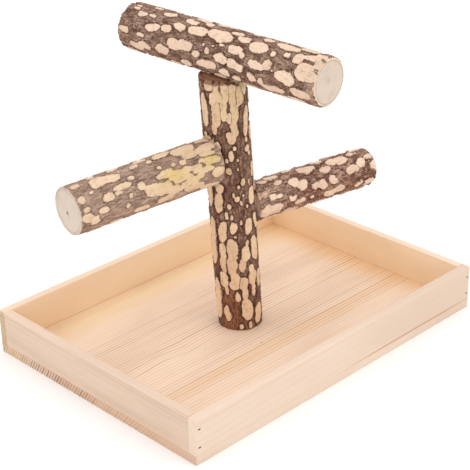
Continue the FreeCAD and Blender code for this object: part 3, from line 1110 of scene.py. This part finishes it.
def wander(places, size, seed):
    """Smooth noise from -1 to 1 at each place, with features of a size in mm."""
    shift = Vector((seed * 31.7, seed * 17.3, seed * 7.9))
    return np.array([noise.noise(Vector(place) / size + shift) for place in places])


def knob_edge(knob, along, across, tilt):
    """Distance in mm from the edge of one knob, which is an oval between a box and an ellipse. It is
    below 0 on the knob."""
    distance, _, length, width = knob
    forward = (along - distance) * math.cos(tilt) + across * math.sin(tilt)
    sideways = across * math.cos(tilt) - (along - distance) * math.sin(tilt)
    away = np.hypot(forward, sideways) + 1e-6
    share = (
        np.abs(forward * 2 / length) ** ROUNDNESS + np.abs(sideways * 2 / width) ** ROUNDNESS
    ) ** (1 / ROUNDNESS)
    return np.clip(away * (1 - 1 / np.maximum(share, 1e-3)), DEEPEST_EDGE, FARTHEST_EDGE)


def knob_field(branch, along, angle, fray, seed):
    """Distance to the nearest knob's edge, the gap to the next nearest, and the knob's tint."""
    chance = random.Random(seed)
    nearest = np.full(along.shape, FARTHEST_EDGE)
    second = np.full(along.shape, FARTHEST_EDGE)
    tint = np.zeros(along.shape)
    owner = np.zeros(along.shape, dtype=int)
    rival = np.zeros(along.shape, dtype=int)
    for number, knob in enumerate(branch["knobs"]):
        tilt = chance.uniform(-KNOB_TILT, KNOB_TILT)
        shade = chance.random()
        turn = (angle - math.radians(knob[1]) + math.pi) % math.tau - math.pi
        edge = knob_edge(knob, along, turn * branch["radius"], tilt)
        edge = edge + fray * min(1.0, knob[3] / FULL_FRAY_WIDTH)
        closer = edge < nearest
        rival = np.where(closer, owner, np.where(edge < second, number, rival))
        owner = np.where(closer, number, owner)
        second = np.where(closer, nearest, np.minimum(second, edge))
        tint = np.where(closer, shade, tint)
        nearest = np.where(closer, edge, nearest)
    centres = np.array([(knob[0], math.radians(knob[1]) * branch["radius"]) for knob in branch["knobs"]])
    apart = np.abs(centres[owner] - centres[rival])
    in_line = apart[:, 0] > IN_LINE * apart[:, 1]
    return nearest, second - nearest + IN_LINE_EASE * in_line, tint


print("the line between knobs in a row is eased by", IN_LINE_EASE, "mm")


# %% [markdown]
# The relief is worked out in millimetres below the sanded flats. Bark lies lower and is uneven, a
# shallow groove runs round each knob, and a finer one runs where two knobs meet. Near a sawn end the
# bark is sanded to a bevel, and there it is pale wherever the bevel goes deeper than the bark.
#
# Each branch has its own numbers, because the right perch's bark is far rougher than the left one's.
# They say how frayed the knobs' edges are, how deep and how jagged the bark is, how much it waves,
# how far flakes may stand proud (below 0, how deep the bark lies at least) and the bevels at the two
# ends in mm.

# %% Work out the relief
RELIEF_KEYS = ("frayed", "rough", "jagged", "wave", "flake", "bevels")
RELIEF = {
    "post": (1.0, 0.6, 1.8, 0.25, 0.0, (0.0, 1.6)),
    "top_perch": (1.1, 0.7, 2.2, 0.2, -0.25, (0.6, 2.0)),
    "left_perch": (1.2, 0.35, 1.5, 0.2, 0.0, (0.0, 0.4)),
    "right_perch": (1.5, 0.75, 3.6, 0.4, 1.6, (0.0, 1.8)),
}
for name, values in RELIEF.items():
    branches[name].update(zip(RELIEF_KEYS, values))
GROOVE_DEPTH, MEETING_DEPTH, GROOVE_WIDTH = 0.28, 0.22, 0.35
FLAKE_SLOPE = 0.4
INSIDE = -2.0


def smooth(value, low, high):
    """A smooth step from 0 to 1 as the value goes from low to high."""
    share = np.clip((value - low) / (high - low), 0, 1)
    return share * share * (3 - 2 * share)


def bark_depth(branch, place, knob, gap, tint, seed):
    """How far in mm each point lies below the branch's full radius. Flakes may stand proud, but less
    and less towards the held end, so that they clear the next branch when this one turns."""
    stretched = place * (1, 1, 0.6)
    lumps = 0.6 * wander(stretched, 3.2, seed + 2) + 0.55 * wander(place, 1.2, seed + 3)
    wave = wander(place, 26, seed + 4)
    ground = KNOB_HEIGHT * 1.1 + branch["rough"] * (0.5 + lumps * branch["jagged"])
    flat = 0.12 + 0.1 * tint
    groove = GROOVE_DEPTH * np.exp(-(((knob - 0.4) / GROOVE_WIDTH) ** 2))
    meeting = MEETING_DEPTH * np.exp(-((gap / GROOVE_WIDTH) ** 2)) * smooth(-knob, -0.2, 0.3)
    on_knob = smooth(-knob, -0.3, 0.3)
    depth = ground + (flat - ground) * on_knob + groove + meeting
    proudest = np.minimum(branch["flake"], FLAKE_SLOPE * place[:, 2])
    return np.maximum(depth, -proudest) + branch["wave"] * (wave + 1) / 2


def bevel_drop(distance, bevel):
    """How far a rounded bevel lies below the surface at a distance from the sawn end."""
    if not bevel:
        return np.zeros(distance.shape)
    share = np.clip(1 - distance / bevel, 0, 1)
    return bevel * (0.55 * share + 0.45 * share * share)


print("bevels of the sawn ends:", {name: branch["bevels"] for name, branch in branches.items()})

# %% Carve the relief into the tubes
def carve_bark(branch, seed):
    """Move a tube's points to the shape of the bark, and keep the knob numbers on the mesh."""
    mesh = branch["tube"].data
    place = np.empty(len(mesh.vertices) * 3)
    mesh.vertices.foreach_get("co", place)
    place = place.reshape(-1, 3) / MM
    radial = np.hypot(place[:, 0], place[:, 1])
    outside = radial > (branch["radius"] + branch["core"]) / 2
    angle = np.arctan2(place[:, 1], place[:, 0])
    along = place[:, 2]
    fray = 1.3 * wander(place * (1, 1, 0.6), 3.4, seed) + 0.6 * wander(place, 1.3, seed + 1)
    fray *= branch["frayed"]
    knob, gap, tint = knob_field(branch, along, angle, fray, seed)
    depth = bark_depth(branch, place, knob, gap, tint, seed)
    sunk = depth * outside
    start_bevel, end_bevel = branch["bevels"]
    bevel = bevel_drop(along, start_bevel) + bevel_drop(branch["length"] - along, end_bevel)
    ragged = wander(place, 4, seed + 5)
    bevel += 0.12 * ragged * (bevel > 0)
    sanded = np.minimum(knob, 1.2 - (bevel - depth) * 2.4 + ragged * 1.8)
    knob = np.where(outside, np.where(bevel > 0.05, sanded, knob), INSIDE)
    depth = np.maximum(depth, bevel)
    new_radius = np.where(outside, branch["radius"] - depth, radial)
    place[:, 0] = np.cos(angle) * new_radius
    place[:, 1] = np.sin(angle) * new_radius
    mesh.vertices.foreach_set("co", (place * MM).ravel())
    # sunk keeps how deep the bark lies, for the painted shade in its hollows and the painted highlight
    # where it stands proud.
    for label, values in (("knob", knob), ("gap", gap), ("tint", tint), ("sunk", sunk)):
        mesh.attributes.new(label, "FLOAT", "POINT").data.foreach_set("value", values)
    mesh.update()
    return float(np.mean(knob[outside] < 0))


for seed, (name, branch) in enumerate(branches.items()):
    print(name, "is", round(100 * carve_bark(branch, 10 * seed + 3)), "% knobs")


# %% [markdown]
# ## Cut the branches to their places
# The tubes move to where the branches are. The post's ends are then slid along it, until its foot lies
# level on the tray and its top is square to the bolt. The flats on which the branches meet are pressed
# in, rather than cut, so that the mesh keeps its even faces. They lie a hair behind the plane of the
# joint, because two faces in one plane touch or miss each other by rounding alone.

# %% Move the tubes and slide their ends
def stand(branch):
    """Move a tube to its branch's place, and keep the object itself at the origin."""
    tube = branch["tube"]
    bpy.ops.object.select_all(action="DESELECT")
    bpy.context.view_layer.objects.active = tube
    tube.select_set(True)
    tube.matrix_world = branch["frame"]
    bpy.ops.object.transform_apply(location=True, rotation=True, scale=True)


def points_of(tube):
    """The places of a piece's points, in metres."""
    place = np.empty(len(tube.data.vertices) * 3)
    tube.data.vertices.foreach_get("co", place)
    return place.reshape(-1, 3)


def slide_ends(tube, base, end, base_normal, end_normal):
    """Slide points along the branch so that its square ends lie in the two given planes."""
    place = points_of(tube)
    base, end = np.array(base), np.array(end)
    axis = (end - base) / np.linalg.norm(end - base)
    share = ((place - base) @ axis) / np.linalg.norm(end - base)
    across = place - base - np.outer((place - base) @ axis, axis)
    at_base = -(across @ np.array(base_normal)) / (axis @ np.array(base_normal))
    at_end = -(across @ np.array(end_normal)) / (axis @ np.array(end_normal))
    place += np.outer(at_base * (1 - share) + at_end * share, axis)
    tube.data.vertices.foreach_set("co", place.ravel())


for branch in branches.values():
    stand(branch)
post_bark = branches["post"]["tube"]
top_bark = branches["top_perch"]["tube"]
slide_ends(post_bark, foot, top, UPWARD, top_bolt)
print("the post's bark stands from", round(points_of(post_bark)[:, 2].min() / MM, 2), "mm")

# %% Press the flats
HAIR = 0.02
LEFT_FLAT, RIGHT_FLAT, TOP_FLAT = 16.5, 14.6, 16.3
PRESS_DEPTH = 5
SANDED = -1.0


def press_flat(tube, centre, outward, reach):
    """Press the bark that is proud of a plane, within a reach in mm, to a hair behind it."""
    place = points_of(tube)
    outward = np.array(outward)
    proud = (place - np.array(centre)) @ outward + HAIR * MM
    aside = np.linalg.norm(place - np.array(centre) - np.outer(proud, outward), axis=1)
    pressed = (proud > 0) & (proud < PRESS_DEPTH * MM) & (aside < reach * MM)
    place[pressed] -= np.outer(proud[pressed], outward)
    tube.data.vertices.foreach_set("co", place.ravel())
    sanded = np.empty(len(place), dtype=np.float32)
    tube.data.attributes["knob"].data.foreach_get("value", sanded)
    sanded[pressed] = SANDED
    tube.data.attributes["knob"].data.foreach_set("value", sanded)
    return int(pressed.sum())


left_seat = Vector(joints["left_perch_turn"]["pos_m"])
right_seat = Vector(joints["right_perch_turn"]["pos_m"])
print("left seat", press_flat(post_bark, left_seat, left_axis, LEFT_FLAT), "points pressed")
print("right seat", press_flat(post_bark, right_seat, right_axis, RIGHT_FLAT), "points pressed")
print("top seat", press_flat(top_bark, top, -top_bolt, TOP_FLAT), "points pressed")


# %% [markdown]
# Last, Boolean cuts make room for the bolts and inserts. A hole has an edge of its own, so here a cut
# is cleaner than moving points. Then each tube rides on its body, and the engineering bark that it
# stands for is hidden.

# %% Bore the holes and hand over the bark
INSERT_BORE, BOLT_BORE, BORE_DEPTH = 5.05, 3.05, 8
SHARP_EDGE = math.radians(50)


def bore(tube, centre, axis, radius):
    """Bore a round hole, centred on a point, with a Boolean cut."""
    bpy.ops.object.select_all(action="DESELECT")
    bpy.ops.mesh.primitive_cylinder_add(vertices=48, radius=radius * MM, depth=BORE_DEPTH * MM)
    drill = bpy.context.object
    turned = Vector(axis).to_track_quat("Z", "Y").to_matrix().to_4x4()
    drill.matrix_world = Matrix.Translation(centre) @ turned
    bpy.ops.object.select_all(action="DESELECT")
    bpy.context.view_layer.objects.active = tube
    tube.select_set(True)
    cut = tube.modifiers.new("bore", "BOOLEAN")
    cut.object = drill
    bpy.ops.object.modifier_apply(modifier="bore")
    bpy.data.objects.remove(drill)


bore(post_bark, left_seat, left_axis, INSERT_BORE)
bore(post_bark, right_seat, right_axis, INSERT_BORE)
bore(top_bark, top, top_bolt, BOLT_BORE)
for name, branch in branches.items():
    tube = branch["tube"]
    tube.data.update()
    bpy.ops.object.select_all(action="DESELECT")
    bpy.context.view_layer.objects.active = tube
    tube.select_set(True)
    bpy.ops.object.shade_smooth_by_angle(angle=SHARP_EDGE)
    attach(tube, branch["body"])
    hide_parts(name + "_bark")
    print(tube.name, "has", len(tube.data.polygons), "faces")


# %% [markdown]
# ## The finish of bark
# Bark is granular, and grey and brown by patches, with a few winding fissures along the branch. The
# knobs are pale, each in its own tint, with a dark line of painted shade round them. An image wrapped
# round the tube would slide off the knobs, so the colours follow the numbers kept on the mesh, and sit
# exactly on the shapes. Stains come first: ragged blobs placed one by one.

# %% Stains on a branch
STAIN_DEEPS = (0.62, 0.58, 0.56)


def branch_place(branch, distance, degrees):
    """A point on a branch's surface, in mm in the branch's own frame."""
    angle = math.radians(degrees)
    return (branch["radius"] * math.cos(angle), branch["radius"] * math.sin(angle), distance)


def stain_share(finish, point, branch, stain):
    """How strongly a stain colours each point, from its place, length, width and strength."""
    distance, degrees, length, width, strength = stain
    centre = tuple(-side for side in branch_place(branch, distance, degrees))
    away = finish.node("ShaderNodeVectorMath", {"operation": "ADD"}, point, centre)
    away = finish.stretch(away, (2 / width, 2 / width, 2 / length))
    size = finish.node("ShaderNodeVectorMath", {"operation": "LENGTH"}, away, output="Value")
    broad = finish.noise(finish.stretch(point, (0.3, 0.3, 0.16)), 1.0, 3.0, 0.6) - 0.5
    fine = finish.noise(finish.stretch(point, (0.9, 0.9, 0.4)), 1.0, 3.0, 0.6) - 0.5
    ragged = size + broad * 1.6 + fine * 1.6
    return (1 - finish.step(ragged, 0.4, 1.1)) * strength


def stained(finish, point, branch, colour, target, stains, shade):
    """A colour with all the stains that belong on a target: the bark, the knobs or all. Shade goes
    from 0 to 1 and keeps the grain of what is under a stain."""
    for stain in stains:
        if stain[0] == target:
            deep = paint(*(part * share for part, share in zip(stain[6], STAIN_DEEPS)))
            stain_colour = finish.mix(shade, deep, paint(*stain[6]))
            share = stain_share(finish, point, branch, stain[1:6])
            colour = finish.mix(share, colour, stain_colour)
    return colour


print("the dark grain of a stain has", STAIN_DEEPS, "of its red, green and blue")


# %% [markdown]
# The bark finish is built in three layers, each a colour of its own: the ground between the knobs, with
# painted shade where it is sunk and a painted highlight where it stands proud, the pale knobs, and then
# what lies over both, which is the line round a knob, a painted shade in its groove, stains and the sawn
# end.
# The noise that shapes them is made once and shared, so that the layers agree.

# %% The grain that the layers share
FISSURE = (0.002, 0.022)


def bark_grain(finish, shifted):
    """The noise that bark is made of: a level from dark to light, and the fissures."""
    patches = finish.noise(finish.stretch(shifted, (0.2, 0.2, 0.08)), 1.0, 3.0)
    streaks = finish.noise(finish.stretch(shifted, (0.75, 0.75, 0.22)), 1.0, 4.0, 0.6)
    grains = finish.noise(shifted, 1.2, 3.0, 0.6)
    level = (patches - 0.5) * 1.2 + (streaks - 0.5) * 1.5 + (grains - 0.5) * 0.7 + 0.5
    winding = finish.noise(finish.stretch(shifted, (0.24, 0.24, 0.06)), 1.0, 2.0) - 0.5
    crack = 1 - finish.step(winding.maths("ABSOLUTE") + (grains - 0.5) * 0.02, *FISSURE)
    return level, streaks, grains, crack


def ground_colour(finish, level, crack, tones):
    """The bark between the knobs, with painted shade where it is sunk and a painted highlight where it
    stands proud.
    """
    dark, light = paint(*tones[0]), paint(*tones[3])
    ground = finish.ramp(level, [(0.15 + 0.23 * n, paint(*tone)) for n, tone in enumerate(tones)])
    ground = finish.mix(crack, ground, dark)
    sunk = finish.attribute("sunk")
    # Painted shade where the bark lies deep, then a painted highlight where it stands proud.
    ground = finish.mix(finish.step(sunk, 0.85, 1.7) * 0.75, ground, dark)
    return finish.mix((1 - finish.step(sunk, 0.2, 0.75)) * 0.4, ground, light)


def knob_colour(finish, edge, worn, creams):
    """The pale wood of the knobs: a tint for each, worn patches and faint rings inside the edge."""
    light, middle, tan = (paint(*cream) for cream in creams)
    pale = finish.mix(finish.attribute("tint"), light, middle)
    pale = finish.mix(worn * 0.6, pale, tan)
    contour = (edge * 1.1).maths("FRACT")
    contour = finish.step(contour, 0.0, 0.2) * (1 - finish.step(contour, 0.25, 0.5))
    return finish.mix(contour * 0.1, pale, tan)


print("a fissure fades out over", FISSURE, "of the noise round its middle")

# %% The bark finish
def bark(name, branch, tones, creams, outline_shade, meetings, fissures, sawn, stains, seed):
    """Bark in four tones from dark to light, with knobs in three creams. The outline strength is how
    dark the painted shade in the groove round each knob is, meetings and fissures say how strong the
    dark lines are between touching knobs and along the branch, and sawn is the colour of the bark's own
    sawn end."""
    finish = Finish(name)
    point = finish.place(branch["frame"])
    shifted = finish.node("ShaderNodeVectorMath", {"operation": "ADD"}, point, (seed, seed, seed))
    dark = paint(*tones[0])
    fray = finish.noise(shifted, 1.0, 3.0, 0.6) - 0.5
    edge = finish.attribute("knob") + fray * 0.8
    on_knob = 1 - finish.step(edge, -0.25, 0.2)
    # The outline is painted shade: a dark band in the groove just outside each knob's edge.
    outline = finish.step(edge, -0.4, 0.05) * (1 - finish.step(edge, 0.1, 0.8))
    level, streaks, grains, crack = bark_grain(finish, shifted)
    shade = finish.step(level, 0.25, 0.75)
    ground = ground_colour(finish, level, crack * fissures, tones)
    ground = stained(finish, point, branch, ground, "bark", stains, shade)
    worn_noise = finish.noise(finish.stretch(shifted, (0.5, 0.5, 0.3)), 1.0, 3.0, 0.6)
    worn = finish.step(worn_noise, 0.5, 0.68)
    pale = knob_colour(finish, edge, worn, creams)
    pale = stained(finish, point, branch, pale, "knobs", stains, 0.8 + worn * -0.3)
    strength, width = meetings
    meeting = 1 - finish.step(finish.attribute("gap") + fray * 0.4, width * 0.2, width)
    pale = finish.mix(meeting * strength, pale, dark)
    pale = finish.mix(crack * fissures * 0.25, pale, dark)
    colour = finish.mix(on_knob, ground, pale)
    colour = finish.mix(outline * outline_shade, colour, dark)
    colour = stained(finish, point, branch, colour, "all", stains, 0.4 + shade * 0.6)
    up_branch = finish.split(point)[2]
    sawn_end = finish.step(up_branch, branch["length"] - 0.12, branch["length"] - 0.04)
    finish.drive("Base Color", finish.mix(sawn_end, colour, paint(*sawn)))
    finish.drive("Roughness", 0.82 - on_knob * 0.14)
    finish.set(Specular_IOR_Level=0.25)
    height = (streaks + grains * 0.5 - crack * 0.5) * (1 - on_knob * 0.85) - outline * 0.4
    finish.relief(height, 0.0009)
    return finish.material


print("bark is laid in three layers: the ground, the knobs and what lies over both")


# %% [markdown]
# Each branch then gets its own colours, matched to the photograph. The post is the darkest and
# has the boldest lines, and the left perch has the faintest, with yellowish stains on its knobs. A
# stain is what it colours, its place along and round the branch, its length and width in mm, its
# strength and its colour. One look for all four would lose what tells the branches apart.

# %% Colour each branch
looks = {
    "post": {
        "tones": ((86, 53, 39), (124, 87, 70), (149, 113, 95), (182, 146, 125)),
        "sawn": (150, 104, 76),
        "creams": ((241, 208, 175), (227, 191, 157), (202, 162, 126)),
        "outline_shade": 0.8,
        "meetings": (0.9, 0.95),
        "fissures": 0.75,
        "stains": [
            ("bark", 20, -70, 70, 24, 0.75, (172, 110, 78)),
            ("bark", 6, -30, 16, 36, 0.45, (146, 92, 66)),
            ("bark", 52, -80, 50, 12, 0.5, (166, 108, 80)),
            ("knobs", 155, -10, 30, 40, 0.55, (236, 208, 156)),
            ("all", 166, 12, 12, 14, 0.6, (206, 190, 146)),
            # The dark band round the post's top is partly its broken bark edge and partly painted shade
            # under the top perch.
            ("all", 168.5, -75, 4, 44, 0.8, (122, 74, 52)),
            ("all", 70, -91, 110, 2.4, 0.8, (96, 58, 42)),
        ],
    },
    "top_perch": {
        "tones": ((110, 76, 59), (144, 109, 92), (168, 134, 116), (198, 167, 147)),
        "sawn": (236, 208, 180),
        "creams": ((247, 218, 192), (235, 203, 176), (208, 172, 146)),
        "outline_shade": 0.55,
        "meetings": (0.6, 0.6),
        "fissures": 0.5,
        "stains": [
            ("all", 148, 60, 8, 60, 0.5, (240, 210, 182)),
            ("bark", 147, 130, 12, 20, 0.6, (150, 96, 74)),
        ],
    },
    "left_perch": {
        "tones": ((136, 105, 89), (164, 133, 116), (184, 153, 134), (206, 177, 157)),
        "sawn": (226, 208, 190),
        "creams": ((242, 212, 180), (228, 196, 164), (208, 174, 144)),
        "outline_shade": 0.25,
        "meetings": (0.3, 0.5),
        "fissures": 0.3,
        "stains": [
            ("knobs", 25, -70, 70, 30, 0.35, (238, 208, 152)),
            ("knobs", 22, -88, 16, 10, 0.4, (238, 206, 140)),
            ("knobs", 10, -60, 16, 10, 0.6, (240, 208, 124)),
            ("knobs", 36, -64, 20, 12, 0.6, (240, 206, 122)),
            ("all", 1, -40, 4, 60, 0.6, (222, 192, 160)),
        ],
    },
    "right_perch": {
        "tones": ((128, 90, 74), (166, 127, 110), (190, 152, 133), (216, 182, 162)),
        "sawn": (226, 200, 172),
        "creams": ((247, 216, 190), (231, 198, 172), (206, 170, 144)),
        "outline_shade": 0.55,
        "meetings": (0.6, 0.7),
        "fissures": 0.6,
        "stains": [
            ("bark", 8, 50, 36, 30, 0.95, (236, 200, 172)),
            ("bark", 50, 105, 90, 16, 0.6, (184, 120, 94)),
        ],
    },
}
for number, (name, look) in enumerate(looks.items()):
    material = bark("bark_on_" + name, branches[name], **look, seed=17.0 * number)
    branches[name]["tube"].data.materials.append(material)
print("bark finished on", ", ".join(looks))


# %% [markdown]
# ## Sawn wood
# The wood inside shows only at sawn ends and in the gaps at the joints. It is pale and greyish, with
# faint rings round a small pith and a thin dark line where the bark begins. The engineering rods are
# already round and smooth, so they keep their shape, and only a finish is added.

# %% Finish the wood of the branches
def sawn_wood(name, branch, pale, late, rim, heart, pith):
    """Wood with rings round the pith, which is given in mm from the branch's axis. Rim and heart are
    the colours of the line under the bark and of the pith."""
    finish = Finish(name)
    point = finish.place(branch["frame"])
    x, y = finish.split(point)[:2]
    aside, up_from = x - pith[0], y - pith[1]
    wobble = finish.noise(finish.stretch(point, (0.12, 0.12, 0.02)), 1.0, 2.0) - 0.5
    radius = (aside * aside + up_from * up_from) ** 0.5
    share = ((radius + wobble * 2.4) / 1.5).maths("FRACT")
    rings = finish.step(share, 0.2, 0.9) * (1 - finish.step(share, 0.9, 1.0))
    saw = finish.noise(finish.stretch(point, (0.25, 2.5, 2.5)), 1.0, 3.0)
    colour = finish.mix(rings * 0.36 + (saw - 0.5) * 0.4, pale, late)
    blush = finish.noise(point, 0.14, 2.0)
    colour = finish.mix(finish.step(blush, 0.45, 0.75) * 0.35, colour, late)
    colour = finish.mix(1 - finish.step(radius, 0.7, 1.7), colour, heart)
    from_axis = (x * x + y * y) ** 0.5
    at_bark = finish.step(from_axis, branch["core"] - 0.7, branch["core"] - 0.1)
    colour = finish.mix(at_bark, colour, rim)
    finish.drive("Base Color", colour)
    finish.set(Roughness=0.75, Specular_IOR_Level=0.25)
    finish.relief(saw + rings * 0.3, 0.00025)
    return finish.material


woods = {
    # The post's wood is seen only at its top, in the shadow of the top perch, so its colours are a dark
    # red-brown painted shade.
    "post": ((186, 140, 104), (140, 92, 64), (104, 62, 44), (104, 62, 44), (1, -1)),
    "top_perch": ((226, 207, 190), (198, 176, 156), (166, 158, 132), (206, 184, 162), (1.5, 0.5)),
    "left_perch": ((227, 210, 194), (202, 183, 163), (196, 172, 150), (172, 132, 100), (-1.5, 1.5)),
    "right_perch": ((222, 204, 186), (196, 172, 148), (146, 112, 90), (150, 112, 84), (0.5, 1.0)),
}
for name, (*colours, pith) in woods.items():
    paints = [paint(*colour) for colour in colours]
    dress(name + "_wood", sawn_wood("wood_of_" + name, branches[name], *paints, pith))
print("wood finished:", ", ".join(woods))


# %% [markdown]
# ## The sizes
# Dressing a part must not change its size. The box that holds the engineering model and the box that
# holds the dressed one are both printed.

# %% Print the sizes and finish
dressed_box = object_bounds()
sizes = {
    "cad": [list(corner) for corner in engineering_box],
    "visual": [list(corner) for corner in dressed_box],
}
for label, (low, high) in sizes.items():
    print(label, [round(1000 * value, 2) for value in low + high], "mm")
